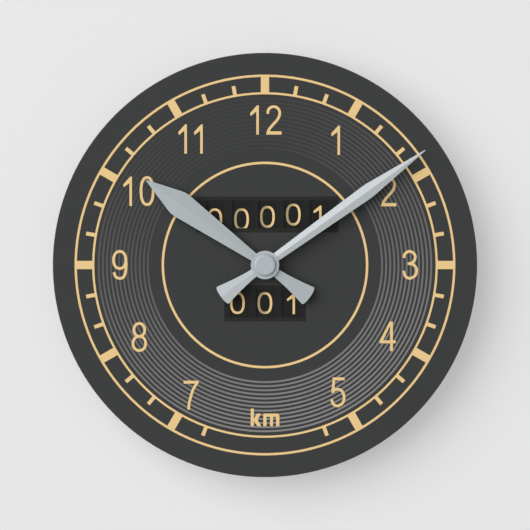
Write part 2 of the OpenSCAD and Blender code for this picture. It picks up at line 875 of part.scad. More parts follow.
module setting_knob() {
    grips = 18;
    grip_r = 0.5;
    color("#EDECE8") at(motion_at) difference() {
        rod(knob_d / 2, knob_z, knob_z + knob_t);
        rod(arbor_r, knob_z - 1, knob_z + knob_t + 1);
        for (i = [0 : grips - 1]) rotate(i * 360 / grips) translate([knob_d / 2 + grip_r * 0.4, 0, 0])
            rod(grip_r, knob_z - 1, knob_z + knob_t + 1);
    }
}

module centre_wheel() {
    color("#E6E2D6") difference() {
        wheel(centre_n, centre_m, centre_phase, centre_z);
        rod(minute_r + running_gap, centre_z - 1, centre_z + wheel_t + 1);
        for (a = [60, 180, 300]) rotate(a) translate([centre_hole_at, 0, 0])
            rod(centre_hole_r, centre_z - 1, centre_z + wheel_t + 1);
    }
}

// Going train, behind the middle plate

module third_wheel() {
    color("#E6E2D6") at(third_at) {
        wheel(third_n, third_m, third_phase, third_z);
        leaves(third_leaf_n, centre_m, 0, centre_z);
        arbor(core_r, third_low, third_top);
    }
}

module second_wheel() {
    color("#E6E2D6") difference() {
        union() {
            wheel(second_n, second_m, 0, second_z);
            leaves(second_leaf_n, third_m, 0, third_z);
            rod(second_hub_r, second_low, third_z);
        }
        rod(second_r, second_low - 1, third_z + 3);
    }
}

// The arbor turns in the back cover on a pivot and in the minute tube's bore
module second_arbor() {
    color("#B9BCBF") {
        rod(second_r, second_low, minute_tube_end - 0.2);
        rod(pivot_r, second_low - pivot_l, second_low + e);
    }
}

module fifth_wheel() {
    color("#E6E2D6") at(fifth_at) {
        wheel(fifth_n, fifth_m, 0, fifth_z);
        leaves(fifth_leaf_n, second_m, fifth_leaf_phase, second_z);
        arbor(core_r, fifth_low, plate_z - shoulder_gap);
    }
}

module rotor_pinion() {
    color("#E6E2D6") at(rotor_at) {
        leaves(rotor_n, fifth_m, rotor_phase, fifth_z);
        arbor(core_r, rotor_low, plate_z - shoulder_gap);
    }
}

module rotor_magnet() {
    color("#5A5D60") at(rotor_at) pipe(magnet_r, core_r, magnet_z, magnet_z + magnet_l);
}

// Hands

function mix(p, q, t) = p * (1 - t) + q * t;
function bend(p, q, r, t) = mix(mix(p, q, t), mix(q, r, t), t);
function towards(p, q, l) = p + (q - p) * l / norm(q - p);

// Right side of a hand that points up: tip, softened shoulder, neck, waist, flared tail
function hand_side(tip, shoulder, w, tail) =
    let (
        point = [tip_half, tip],
        corner = [w / 2, shoulder],
        neck = [neck_w / 2, hub_edge],
        corner_y = tail - tail_bulge
    ) concat(
        [point],
        [for (i = [0 : 6])
            bend(towards(corner, point, shoulder_soft), corner,
                towards(corner, neck, shoulder_soft), i / 6)],
        [neck],
        [for (i = [0 : 8])
            [neck_w / 2 + (tail_w - neck_w) / 2 * pow(i / 8, 1.4), -mix(hub_edge, corner_y, i / 8)]],
        [for (i = [1 : 5]) [tail_w / 2 * cos(i * 18), -corner_y - tail_bulge * sin(i * 18)]]
    );

function mirrored(side) = [for (i = [len(side) - 2 : -1 : 0]) [-side[i][0], side[i][1]]];

// Sheet folded along its centre line, with the fold's crest at z = 0, from y0 to y1
module folded_sheet(y0, y1, fall) {
    w = tail_w + hour_w + minute_w;
    translate([0, y1, 0]) rotate([90, 0, 0]) linear_extrude(y1 - y0)
        polygon([[-w, -w * fall], [0, 0], [w, -w * fall],
            [w, -w * fall - hand_t], [0, -hand_t], [-w, -w * fall - hand_t]]);
}

module hand(angle, z, tip, shoulder, w, tail, bore) {
    side = hand_side(tip, shoulder, w, tail);
    translate([0, 0, z]) rotate(-angle) difference() {
        union() {
            intersection() {
                translate([0, 0, -5]) linear_extrude(6) polygon(concat(side, mirrored(side)));
                union() {
                    folded_sheet(0, tip + 1, hand_fall);
                    folded_sheet(-tail - 1, 0, tail_fall);
                }
            }
            rod(hub_d / 2, -hub_t, 0);
        }
        rod(bore, -9, 9);
    }
}

module hour_hand() {
    color("#AEB8BC") hand(hour_angle, hour_hand_z, hour_tip, hour_shoulder, hour_w, hour_tail, collet_r);
}

module hour_hand_collet() {
    color("#B9BCBF") {
        pipe(collet_r, hour_r, collet_z, hour_hand_z);
        pipe(collet_r + 1, collet_r - e, hour_hand_z - hub_t - 0.5, hour_hand_z - hub_t);
    }
}

module minute_hand() {
    color("#AEB8BC")
        hand(minute_angle, minute_hand_z, minute_tip, minute_shoulder, minute_w, minute_tail, minute_r);
}

module minute_hand_boss() {
    color("#B4BEC2") pipe(boss_d / 2, minute_r, boss_z, cap_z);
}

module cap_nut() {
    inner_top = cap_h - cap_roof;
    shoulder = [for (i = [0 : 6])
        [cap_d / 2 - cap_soft * (1 - cos(i * 15)), cap_h - cap_drop * (1 - sin(i * 15))]];
    color("#B4BEC2") translate([0, 0, cap_z]) rotate_extrude() polygon(concat(
        [[minute_r, 0], [cap_d / 2, 0]], shoulder, [[0, cap_h], [0, inner_top], [minute_r, inner_top]]));
}

// Everything stands in the row's frame: the hanger hole's centre is the origin and the front faces -Y
module placed() {
    translate([0, 0, -hanger_y]) rotate([90, 0, 0]) children();
}

placed() {
    acrylic_disc();
    face_print();
    scale_print();
    groove_print();
    window_print();
    drum_print();
    rubber_washer();
    brass_washer();
    hex_nut();
    threaded_bushing();
    case_front();
    case_back();
    middle_plate();
    contact_positive();
    contact_negative();
    circuit_board();
    chip_blob();
    quartz_crystal();
    stator();
    coil_core();
    coil_bobbin();
    coil_winding();
    minute_tube();
    clutch_spring();
    minute_hand();
    minute_hand_boss();
    cap_nut();
    hour_wheel();
    hour_hand();
    hour_hand_collet();
    minute_wheel();
    setting_knob();
    centre_wheel();
    third_wheel();
    second_wheel();
    second_arbor();
    fifth_wheel();
    rotor_pinion();
    rotor_magnet();
    battery_cell();
    battery_jacket();
}
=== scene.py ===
import bmesh
import bpy
import numpy as np
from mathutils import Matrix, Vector


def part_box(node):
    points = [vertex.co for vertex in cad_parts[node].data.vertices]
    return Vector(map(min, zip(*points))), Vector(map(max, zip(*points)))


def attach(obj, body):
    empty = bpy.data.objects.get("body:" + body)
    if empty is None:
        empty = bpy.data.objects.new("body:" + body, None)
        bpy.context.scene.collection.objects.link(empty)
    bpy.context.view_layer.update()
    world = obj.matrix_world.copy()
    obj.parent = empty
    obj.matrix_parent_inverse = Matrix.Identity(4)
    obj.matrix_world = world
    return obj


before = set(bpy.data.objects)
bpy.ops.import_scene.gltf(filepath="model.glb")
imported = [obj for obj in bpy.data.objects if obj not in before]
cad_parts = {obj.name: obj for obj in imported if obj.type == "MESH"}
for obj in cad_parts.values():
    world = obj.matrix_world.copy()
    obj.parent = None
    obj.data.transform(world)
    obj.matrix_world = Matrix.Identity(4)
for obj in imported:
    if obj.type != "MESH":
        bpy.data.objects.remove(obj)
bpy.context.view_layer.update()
mm = 0.001
print("frame loaded:", len(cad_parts), "nodes")

# Heights of the print, in metres along Y (smaller is nearer to the viewer)
inkFront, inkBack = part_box("scale_print")[0].y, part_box("scale_print")[1].y
discLow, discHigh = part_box("acrylic_disc")
spindle = Vector(((discLow.x + discHigh.x) / 2, 0, (discLow.z + discHigh.z) / 2))


def linear(hexText):
    # sRGB hex to linear colour: c/12.92 in the toe, else ((c + 0.055) / 1.055) ^ 2.4
    c = np.array([int(hexText[i:i + 2], 16) for i in (1, 3, 5)]) / 255
    return (*np.where(c <= 0.04045, c / 12.92, ((c + 0.055) / 1.055) ** 2.4), 1.0)


def addNode(tree, kind, settings=None, links=None):
    # one node, its settings (attributes or input sockets) and what feeds it
    node = tree.nodes.new(kind)
    for key, value in (settings or {}).items():
        if hasattr(node, str(key)):
            setattr(node, key, value)
        else:
            node.inputs[key].default_value = value
    for key, source in (links or {}).items():
        tree.links.new(source, node.inputs[key])
    return node


def startMaterial(name, colour, roughness, **values):
    # a Principled material; what is the same all over is set on the shader's own sockets
    material = bpy.data.materials.new(name)
    material.use_nodes = True
    tree = material.node_tree
    shader = tree.nodes["Principled BSDF"]
    shader.inputs["Base Color"].default_value = linear(colour)
    shader.inputs["Roughness"].default_value = roughness
    for key, value in values.items():
        shader.inputs[key.replace("_", " ")].default_value = value
    place = addNode(tree, "ShaderNodeTexCoord")
    return material, tree, shader, place.outputs["Object"]


def blend(tree, shader, low, high, share):
    # colour goes from one hex value to the other as the share goes from 0 to 1
    mix = addNode(tree, "ShaderNodeMix", {"data_type": "RGBA", 6: linear(low), 7: linear(high)}, {0: share})
    tree.links.new(mix.outputs[2], shader.inputs["Base Color"])


def mottle(tree, shader, where, low, high, grain):
    # colour drifts between two hex values in patches of one grain, in metres
    noise = addNode(tree, "ShaderNodeTexNoise", {"Scale": 1 / grain, "Detail": 3.0}, {"Vector": where})
    blend(tree, shader, low, high, noise.outputs["Fac"])


def roughen(tree, shader, where, low, high, grain):
    # roughness drifts between two values in patches of one grain
    noise = addNode(tree, "ShaderNodeTexNoise", {"Scale": 1 / grain, "Detail": 2.0}, {"Vector": where})
    spread = addNode(tree, "ShaderNodeMapRange", {"To Min": low, "To Max": high},
                     {"Value": noise.outputs["Fac"]})
    tree.links.new(spread.outputs["Result"], shader.inputs["Roughness"])


def emboss(tree, shader, height, strength, depth):
    # relief from a height socket, depth in metres
    bump = addNode(tree, "ShaderNodeBump", {"Strength": strength, "Distance": depth}, {"Height": height})
    tree.links.new(bump.outputs["Normal"], shader.inputs["Normal"])


# Blender's wave texture repeats every 2 pi / 20 of its scaled coordinate, so with a Scale of waveUnit / step
# one wave is 2 pi steps long
waveUnit = 0.05


def castAcrylic():
    # cast acrylic dyed right through, rim cut and flame polished: deep gloss, faint saw lines across the rim
    look = {"low": "#2C2D2D", "high": "#303131", "gloss": 0.12, "sawStep": 0.5 * mm}
    material, tree, shader, where = startMaterial("castAcrylic", look["high"], look["gloss"], IOR=1.49)
    mottle(tree, shader, where, look["low"], look["high"], grain=9 * mm)
    lines = addNode(tree, "ShaderNodeTexWave", {"bands_direction": "Z", "Scale": waveUnit / look["sawStep"],
                                                "Distortion": 2.0}, {"Vector": where})
    emboss(tree, shader, lines.outputs["Fac"], strength=0.15, depth=0.02 * mm)
    return material


# All the print is one matt screen ink: it hardly shines
inkSheen = {"roughness": 0.6, "Specular_IOR_Level": 0.1}

# Where the two rows of counter drums are printed, from the spindle
counterRows = {"pitch": 12.35 * mm, "upperRight": 1.15 * mm, "upperHigh": 24.2 * mm, "lowerDeep": 18.4 * mm,
               "halfDrum": 6.7 * mm}


def dialInk():
    # screen-printed ground: dark neutral grey, with the faintest cloud in it
    material, tree, shader, where = startMaterial("dialInk", "#393A3A", **inkSheen)
    mottle(tree, shader, where, "#383939", "#3A3B3B", grain=9 * mm)
    speck = addNode(tree, "ShaderNodeTexNoise", {"Scale": 1 / (0.35 * mm)}, {"Vector": where})
    emboss(tree, shader, speck.outputs["Fac"], strength=0.05, depth=0.01 * mm)
    return material


def creamInk():
    # printed cream with a little yellow; the ink lies a touch unevenly
    material, tree, shader, where = startMaterial("creamInk", "#EDCB90", **inkSheen)
    mottle(tree, shader, where, "#E9C78C", "#EDCB90", grain=1.5 * mm)
    return material


def grooveInk():
    # grey rings that fade into the ground towards eleven o'clock, are palest towards five and pale outwards:
    # share = ((1 + cos(angle from the palest side)) / 2) ^ fall * (inner + (1 - inner) * way out)
    look = {"dark": "#3D3E3E", "pale": "#878485", "palest": 162, "fall": 1.2, "inner": 0.87, "first": 56 * mm}
    last = (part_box("groove_print")[1].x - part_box("groove_print")[0].x) / 2
    material, tree, shader, where = startMaterial("grooveInk", look["pale"], **inkSheen)
    flat = addNode(tree, "ShaderNodeMapping",
                   {"vector_type": "POINT", "Location": -spindle, "Scale": (1, 0, 1)}, {"Vector": where})
    way = addNode(tree, "ShaderNodeVectorMath", {"operation": "NORMALIZE"}, {0: flat.outputs["Vector"]})
    turn = np.radians(look["palest"])
    dot = addNode(tree, "ShaderNodeVectorMath",
                  {"operation": "DOT_PRODUCT", 1: (np.sin(turn), 0, np.cos(turn))},
                  {0: way.outputs["Vector"]})
    turned = addNode(tree, "ShaderNodeMapRange", {"From Min": -1.0, "From Max": 1.0},
                     {"Value": dot.outputs["Value"]})
    faded = addNode(tree, "ShaderNodeMath", {"operation": "POWER", 1: look["fall"]},
                    {0: turned.outputs["Result"]})
    far = addNode(tree, "ShaderNodeVectorMath", {"operation": "LENGTH"}, {0: flat.outputs["Vector"]})
    outward = addNode(tree, "ShaderNodeMapRange", {"From Min": look["first"], "From Max": last,
                                                   "To Min": look["inner"], "To Max": 1.0},
                      {"Value": far.outputs["Value"]})
    share = addNode(tree, "ShaderNodeMath", {"operation": "MULTIPLY"},
                    {0: faded.outputs[0], 1: outward.outputs["Result"]})
    blend(tree, shader, look["dark"], look["pale"], share.outputs[0])
    return material


def counterPlace(tree, where):
    # the place along each axis, and 1 in the lower row of drums or 0 in the upper
    split = addNode(tree, "ShaderNodeSeparateXYZ", None, {"Vector": where})
    lower = addNode(tree, "ShaderNodeMath", {"operation": "LESS_THAN", 1: spindle.z}, {0: split.outputs["Z"]})
    return split.outputs, lower.outputs[0]


def shadedInk(name, low, high, darkEdge):
    # a column of print per counter drum, darkest at the drum's left edge and paler across it:
    # share = fractional part of (x - first drum's left edge, plus the rows' shift where z is low) / pitch
    material, tree, shader, where = startMaterial(name, high, **inkSheen)
    place, lower = counterPlace(tree, where)
    along = addNode(tree, "ShaderNodeMath", {"operation": "MULTIPLY_ADD", 1: counterRows["upperRight"]},
                    {0: lower, 2: place["X"]})
    pitch = counterRows["pitch"]
    count = addNode(tree, "ShaderNodeMath", {"operation": "MULTIPLY_ADD", 1: 1 / pitch,
                                             2: -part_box("drum_print")[0].x / pitch}, {0: along.outputs[0]})
    share = addNode(tree, "ShaderNodeMath", {"operation": "FRACT"}, {0: count.outputs[0]})
    fade = addNode(tree, "ShaderNodeMapRange", {"interpolation_type": "SMOOTHSTEP", "From Min": darkEdge[0],
                                                "From Max": darkEdge[1]}, {"Value": share.outputs[0]})
    blend(tree, shader, low, high, fade.outputs["Result"])
    return material


def windowInk():
    # print of the counter windows: paler above and below the drums, darker between them:
    # share = how near |z - middle of the row| comes to half a drum's height
    look = {"rim": "#252524", "between": "#1F1F1F", "soft": 0.8 * mm}
    material, tree, shader, where = startMaterial("windowInk", look["rim"], **inkSheen)
    place, lower = counterPlace(tree, where)
    row = addNode(tree, "ShaderNodeMapRange", {"To Min": spindle.z + counterRows["upperHigh"],
                                               "To Max": spindle.z - counterRows["lowerDeep"]},
                  {"Value": lower})
    off = addNode(tree, "ShaderNodeMath", {"operation": "SUBTRACT"},
                  {0: place["Z"], 1: row.outputs["Result"]})
    away = addNode(tree, "ShaderNodeMath", {"operation": "ABSOLUTE"}, {0: off.outputs[0]})
    fade = addNode(tree, "ShaderNodeMapRange",
                   {"interpolation_type": "SMOOTHSTEP",
                    "From Min": counterRows["halfDrum"] + look["soft"] / 2,
                    "From Max": counterRows["halfDrum"] - look["soft"] / 2}, {"Value": away.outputs[0]})
    blend(tree, shader, look["rim"], look["between"], fade.outputs["Result"])
    return material


def handPaint(name, low, high):
    # silver-blue metallic lacquer on folded sheet: satin, a slow sheen from fold to fold
    material, tree, shader, where = startMaterial(name, high, roughness=0.3, Metallic=0.2)
    mottle(tree, shader, where, low, high, grain=5 * mm)
    flake = addNode(tree, "ShaderNodeTexNoise", {"Scale": 1 / (0.25 * mm)}, {"Vector": where})
    emboss(tree, shader, flake.outputs["Fac"], strength=0.08, depth=0.01 * mm)
    return material


def turnedMetal(name, colour, roughness, step, metallic=1.0):
    # lathe-turned metal: rings round the spindle, 2 pi steps apart so that they show
    material, tree, shader, where = startMaterial(name, colour, roughness, Metallic=metallic)
    shift = addNode(tree, "ShaderNodeMapping", {"vector_type": "POINT", "Location": -spindle},
                    {"Vector": where})
    rings = addNode(tree, "ShaderNodeTexWave", {"wave_type": "RINGS", "rings_direction": "Y",
                                                "Scale": waveUnit / step, "Distortion": 0.3},
                    {"Vector": shift.outputs["Vector"]})
    emboss(tree, shader, rings.outputs["Fac"], strength=0.12, depth=0.01 * mm)
    roughen(tree, shader, where, roughness - 0.04, roughness + 0.06, grain=1.2 * mm)
    return material


def mouldedPlastic(name, low, high, roughness, grain, relief):
    # injection-moulded plastic with a spark-eroded skin of one grain size
    material, tree, shader, where = startMaterial(name, high, roughness, IOR=1.5)
    mottle(tree, shader, where, low, high, grain=6 * mm)
    skin = addNode(tree, "ShaderNodeTexNoise", {"Scale": 1 / grain, "Detail": 1.0}, {"Vector": where})
    emboss(tree, shader, skin.outputs["Fac"], strength=0.35, depth=relief)
    roughen(tree, shader, where, roughness - 0.05, roughness + 0.08, grain=2 * mm)
    return material


def pressedSteel(name, low, high, roughness, lay):
    # sheet or drawn metal with its grain along X: noise stretched lay times
    material, tree, shader, where = startMaterial(name, high, roughness, Metallic=1.0)
    mottle(tree, shader, where, low, high, grain=3 * mm)
    long = addNode(tree, "ShaderNodeMapping", {"vector_type": "POINT", "Scale": (1 / lay, 1, 1)},
                   {"Vector": where})
    grain = addNode(tree, "ShaderNodeTexNoise", {"Scale": 1 / (0.2 * mm)}, {"Vector": long.outputs["Vector"]})
    emboss(tree, shader, grain.outputs["Fac"], strength=0.15, depth=0.01 * mm)
    return material


def woundCopper():
    # enamelled wire side by side; real wire is 0.05 mm, drawn 1.9 mm wide so that the turns show; the gaps
    # between turns are painted darker as shade and the crests paler as a painted highlight
    # the gap colour is painted shade between the turns, the crest colour a painted highlight
    look = {"step": 0.3 * mm, "gap": "#6E3A18", "crest": "#C87A3C"}
    material, tree, shader, where = startMaterial("enamelledCopper", "#B4642C", roughness=0.28, Metallic=1.0)
    turns = addNode(tree, "ShaderNodeTexWave", {"bands_direction": "X", "Scale": waveUnit / look["step"]},
                    {"Vector": where})
    # painted shade in the gaps between turns and a painted highlight on their crests, following the relief
    blend(tree, shader, look["gap"], look["crest"], turns.outputs["Fac"])
    emboss(tree, shader, turns.outputs["Fac"], strength=0.6, depth=0.05 * mm)
    return material


def shrunkFilm():
    # printed shrink film on the cell: blue with a plain copper band at the positive end
    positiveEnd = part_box("battery_jacket")[1].x
    look = {"film": "#2C5788", "band": "#B5773F", "bandLength": 13 * mm}
    material, tree, shader, where = startMaterial("shrunkFilm", look["film"], roughness=0.22, IOR=1.5)
    split = addNode(tree, "ShaderNodeSeparateXYZ", None, {"Vector": where})
    banded = addNode(tree, "ShaderNodeMath",
                     {"operation": "GREATER_THAN", 1: positiveEnd - look["bandLength"]},
                     {0: split.outputs["X"]})
    blend(tree, shader, look["film"], look["band"], banded.outputs[0])
    creep = addNode(tree, "ShaderNodeTexNoise", {"Scale": 1 / (4 * mm)}, {"Vector": where})
    emboss(tree, shader, creep.outputs["Fac"], strength=0.1, depth=0.1 * mm)
    return material


def solderMask():
    # green lacquer over glass cloth: faint weave, drawn 3.1 mm apart so that it shows
    look = {"low": "#29603D", "high": "#34724B", "step": 0.5 * mm}
    material, tree, shader, where = startMaterial("solderMask", "#2F6B45", roughness=0.3, IOR=1.5)
    mottle(tree, shader, where, look["low"], look["high"], grain=1.2 * mm)
    weave = addNode(tree, "ShaderNodeTexWave", {"bands_direction": "Z", "Scale": waveUnit / look["step"],
                                                "Distortion": 1.5}, {"Vector": where})
    emboss(tree, shader, weave.outputs["Fac"], strength=0.2, depth=0.03 * mm)
    return material


finishes = {
    "castAcrylic": castAcrylic(),
    "dialInk": dialInk(),
    "creamInk": creamInk(),
    "grooveInk": grooveInk(),
    "windowInk": windowInk(),
    "drumInk": shadedInk("drumInk", "#0E0E0D", "#1B1B1A", darkEdge=(0.05, 0.11)),
    "digitInk": shadedInk("digitInk", "#A99872", "#EDCB90", darkEdge=(0.26, 0.56)),
    "rubber": mouldedPlastic("nitrileRubber", "#222326", "#2A2B2E", roughness=0.75,
                             grain=0.4 * mm, relief=0.02 * mm),
    "brass": turnedMetal("turnedBrass", "#C9A552", roughness=0.24, step=0.25 * mm),
    "blackAbs": mouldedPlastic("blackAbs", "#1A1B1D", "#202123", roughness=0.48,
                               grain=0.45 * mm, relief=0.05 * mm),
    "whiteAcetal": mouldedPlastic("whiteAcetal", "#D6D3C9", "#DFDCD2", roughness=0.4,
                                  grain=0.5 * mm, relief=0.02 * mm),
    "naturalAcetal": mouldedPlastic("naturalAcetal", "#E0DCCF", "#EAE6DA", roughness=0.38,
                                    grain=0.4 * mm, relief=0.02 * mm),
    "nickelSteel": pressedSteel("nickelSteel", "#BDC0C2", "#C8CBCD", roughness=0.26, lay=6),
    "groundSteel": turnedMetal("groundSteel", "#B9BCBF", roughness=0.2, step=0.2 * mm),
    "softIron": pressedSteel("softIron", "#94989B", "#A3A7AA", roughness=0.42, lay=8),
    "enamelledCopper": woundCopper(),
    "sinteredMagnet": mouldedPlastic("sinteredMagnet", "#525558", "#5F6265", roughness=0.5,
                                     grain=0.2 * mm, relief=0.03 * mm),
    "blackEpoxy": mouldedPlastic("blackEpoxy", "#101010", "#171717", roughness=0.2,
                                 grain=1.5 * mm, relief=0.05 * mm),
    "solderMask": solderMask(),
    "hourLacquer": handPaint("hourLacquer", "#A3ABAE", "#A9B1B4"),
    # the minute hand takes a paler copy of the hour hand's lacquer: painted light for the brighter light that
    # falls on it
    "minuteLacquerPaintedLight": handPaint("minuteLacquerPaintedLight", "#B1B7BA", "#B7BDC0"),
    "spunAluminium": turnedMetal("spunAluminium", "#A7AFB3", roughness=0.36, step=0.3 * mm, metallic=0.15),
    "shrunkFilm": shrunkFilm(),
}

nodeFinish = {
    "acrylic_disc": "castAcrylic", "face_print": "dialInk", "scale_print": "creamInk",
    "groove_print": "grooveInk", "window_print": "windowInk", "drum_print": "drumInk",
    "rubber_washer": "rubber", "brass_washer": "brass", "hex_nut": "brass", "threaded_bushing": "brass",
    "case_front": "blackAbs", "case_back": "blackAbs", "middle_plate": "whiteAcetal",
    "contact_positive": "nickelSteel", "contact_negative": "nickelSteel", "circuit_board": "solderMask",
    "chip_blob": "blackEpoxy", "quartz_crystal": "nickelSteel", "stator": "softIron", "coil_core": "softIron",
    "coil_bobbin": "whiteAcetal", "coil_winding": "enamelledCopper", "minute_tube": "brass",
    "clutch_spring": "nickelSteel", "minute_hand": "minuteLacquerPaintedLight", "minute_hand_boss": "spunAluminium",
    "cap_nut": "spunAluminium", "hour_wheel": "naturalAcetal", "hour_hand": "hourLacquer",
    "hour_hand_collet": "groundSteel", "minute_wheel": "naturalAcetal", "setting_knob": "whiteAcetal",
    "centre_wheel": "naturalAcetal", "third_wheel": "naturalAcetal", "second_wheel": "naturalAcetal",
    "second_arbor": "groundSteel", "fifth_wheel": "naturalAcetal", "rotor_pinion": "naturalAcetal",
    "rotor_magnet": "sinteredMagnet", "battery_cell": "nickelSteel", "battery_jacket": "shrunkFilm",
}
for name, finish in nodeFinish.items():
    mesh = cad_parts[name].data
    mesh.materials.clear()
    mesh.materials.append(finishes[finish])
print("finishes laid on", len(nodeFinish), "nodes")


def smoothPath(points, steps=10):
    # Catmull-Rom: each span is half of (2b + (c-a)t + (2a-5b+4c-d)t2 + (3b-a-3c+d)t3)
    p = np.array(points, float)
    p = np.vstack([2 * p[:1] - p[1:2], p, 2 * p[-1:] - p[-2:-1]])
    a, b, c, d = p[:-3, None], p[1:-2, None], p[2:-1, None], p[3:, None]
    t = np.linspace(0, 1, steps, endpoint=False)[None, :, None]
    bend = (2 * a - 5 * b + 4 * c - d) * t ** 2 + (3 * b - a - 3 * c + d) * t ** 3
    path = (2 * b + (c - a) * t + bend) / 2
    return np.vstack([path.reshape(-1, 2), p[-2:-1]])


def oval(cx, cy, rx, ry, power=2.3, steps=72):
    # superellipse: x = rx * sign(cos) |cos|^(2/power), y likewise with sin
    t = np.linspace(0, 2 * np.pi, steps, endpoint=False)
    c, s = np.cos(t), np.sin(t)
    x = cx + rx * np.sign(c) * abs(c) ** (2 / power)
    return np.stack([x, cy + ry * np.sign(s) * abs(s) ** (2 / power)], 1)


def strokeOutline(path, width, closed):
    # both sides of a path: point +- half the width along the mitre, (n0 + n1) / (1 + n0.n1)
    step = np.diff(np.vstack([path, path[:1]]) if closed else path, axis=0)
    n = np.stack([-step[:, 1], step[:, 0]], 1) / np.linalg.norm(step, axis=1, keepdims=True)
    before = np.roll(n, 1, axis=0) if closed else np.vstack([n[:1], n])
    after = n if closed else np.vstack([n, n[-1:]])
    mitre = (before + after) / (1 + (before * after).sum(1, keepdims=True))
    return path + mitre * width / 2, path - mitre * width / 2


def strokeMesh(path, width, closed):
    # a flat ribbon of ink: four rows of points (left and right, front and back) joined by quads
    left, right = strokeOutline(np.asarray(path, float), width, closed)
    n = len(left)
    rows = np.vstack([left, right, right, left])
    depth = np.repeat([0.0, 0.0, 1.0, 1.0], n)
    i = np.arange(n if closed else n - 1)
    j = (i + 1) % n
    row = n * np.arange(4)[:, None]
    after = np.roll(row, -1, axis=0)
    faces = [np.stack([row + i, row + j, after + j, after + i], 2).reshape(-1, 4)]
    if not closed:
        faces.append(np.array([[0, n, 2 * n, 3 * n], [n - 1, 4 * n - 1, 3 * n - 1, 2 * n - 1]]))
    return rows, depth, faces


def plateMesh(outline):
    # a flat shape of ink from its outline
    p = np.asarray(outline, float)
    n = len(p)
    i = np.arange(n)
    j = (i + 1) % n
    faces = [i[None], (2 * n - 1 - i)[None], np.stack([j, i, n + i, n + j], 1)]
    return np.vstack([p, p]), np.repeat([0.0, 1.0], n), faces


def figureOne(height, width, stem):
    # a flagged one as a single plate
    return [("plate", [(0, 0.735 * height), (width - 0.7 * stem, height), (width, height), (width, 0),
                       (width - stem, 0), (width - stem, 0.785 * height), (0.07 * width, 0.635 * height)])]


# Figures in millimetres, 14.0 to 14.4 high, and the unit's lower letters, drawn from their lower left corner:
# a line or loop is the middle of a stroke, a plate is an outline. The stem is the upright of the 1
stroke = 1.28
stem = 1.2
inkLap = 0.004 * mm
figureShapes = {
    "0": [("loop", oval(3.65, 7.1, 2.9, 6.46))],
    "1": figureOne(14.0, 4.2, stem),
    "2": [("line", smoothPath([(1.07, 9.95), (1.31, 11.6), (2.34, 12.87), (3.99, 13.37), (5.74, 12.72),
                               (6.76, 11.02), (6.61, 8.97), (5.54, 6.92), (3.6, 4.78), (1.95, 2.73),
                               (1.22, 1.17), (1.07, 0.5)])),
          ("plate", [(0.34, 0), (7.68, 0), (7.68, 1.55), (0.63, 1.55)])],
    "3": [("line", smoothPath([(0.95, 10.5), (1.45, 12.4), (3.5, 13.67), (5.65, 12.7), (6.4, 10.9),
                               (5.7, 8.9), (4.3, 7.95), (2.7, 7.75)])),
          ("line", smoothPath([(3.4, 7.8), (5.3, 7.35), (6.75, 5.8), (7.05, 4.2), (6.3, 2.0), (3.8, 0.73),
                               (1.7, 1.7), (0.75, 4.3)]))],
    "4": [("plate", [(5.0, 14.1), (6.6, 14.1), (6.6, 0), (5.28, 0), (5.28, 12.2), (1.85, 4.9), (0.3, 4.9)]),
          ("plate", [(0.3, 3.75), (8.0, 3.75), (8.0, 5.1), (0.3, 5.1)])],
    "5": [("plate", [(1.35, 13.0), (7.1, 13.0), (7.1, 14.4), (1.35, 14.4)]),
          ("line", [(2.0, 13.6), (1.35, 6.9)]),
          ("line", smoothPath([(1.25, 7.1), (2.1, 8.3), (3.8, 8.75), (5.9, 7.7), (6.85, 4.9), (6.1, 2.1),
                               (3.8, 0.73), (1.7, 1.6), (0.8, 3.9)]))],
    "7": [("plate", [(0.4, 12.8), (7.65, 12.8), (7.65, 14.2), (0.4, 14.2)]),
          ("line", smoothPath([(7.0, 13.4), (5.1, 10.3), (3.95, 6.9), (3.1, 3.4), (2.8, 0.35)]))],
    "8": [("loop", oval(3.8, 10.6, 2.6, 3.07, 2.1)), ("loop", oval(3.8, 4.1, 3.05, 3.37, 2.1))],
    "9": [("loop", oval(3.8, 9.57, 2.95, 4.1, 2.15)),
          ("line", smoothPath([(6.75, 9.6), (6.9, 7.2), (6.55, 3.6), (5.6, 1.4), (3.8, 0.73), (1.95, 1.5),
                               (1.0, 3.7)]))],
    "k": [("plate", [(0, 0), (1.5, 0), (1.5, 8.4), (0, 8.4)]),
          ("plate", [(1.3, 3.1), (2.95, 6.05), (4.9, 6.05), (3.3, 3.1), (5.05, 0), (3.15, 0)])],
    "m": [("plate", [(0, 0), (1.55, 0), (1.55, 4.5), (3.25, 4.5), (3.25, 0), (4.65, 0), (4.65, 4.5),
                     (6.15, 4.5), (6.15, 0), (7.7, 0), (7.7, 5.2), (6.9, 6.05), (0, 6.05)])],
}
figureWidth = {"0": 7.3, "1": 4.2, "2": 7.8, "3": 7.85, "4": 8.1, "5": 7.6, "7": 7.9, "8": 7.6, "9": 7.9,
               "k": 5.1, "m": 7.7}


def inkPiece(name, shapes, corner, front, finish, width=stroke, floor=None):
    # joins shapes given in millimetres from their lower left corner and seats them on the dial there;
    # where strokes cross, the later one lies a hair above, as print does
    points, faces = [], []
    for order, (kind, form) in enumerate(shapes):
        rows, depth, made = plateMesh(form) if kind == "plate" else strokeMesh(form, width, kind == "loop")
        x, z = corner[0] + rows[:, 0], corner[1] + rows[:, 1]
        z = z if floor is None else np.maximum(z, floor)
        at = sum(len(p) for p in points)
        top = front - order * inkLap
        points.append(np.stack([spindle.x + x * mm, top + (inkBack - top) * depth, spindle.z + z * mm], 1))
        faces += [face for block in made for face in (block + at).tolist()]
    mesh = bpy.data.meshes.new(name)
    mesh.from_pydata(np.vstack(points).tolist(), [], faces)
    work = bmesh.new()
    work.from_mesh(mesh)
    bmesh.ops.recalc_face_normals(work, faces=work.faces)
    work.to_mesh(mesh)
    work.free()
    mesh.materials.append(finishes[finish])
    piece = bpy.data.objects.new(name, mesh)
    bpy.context.scene.collection.objects.link(piece)
    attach(piece, "movement")


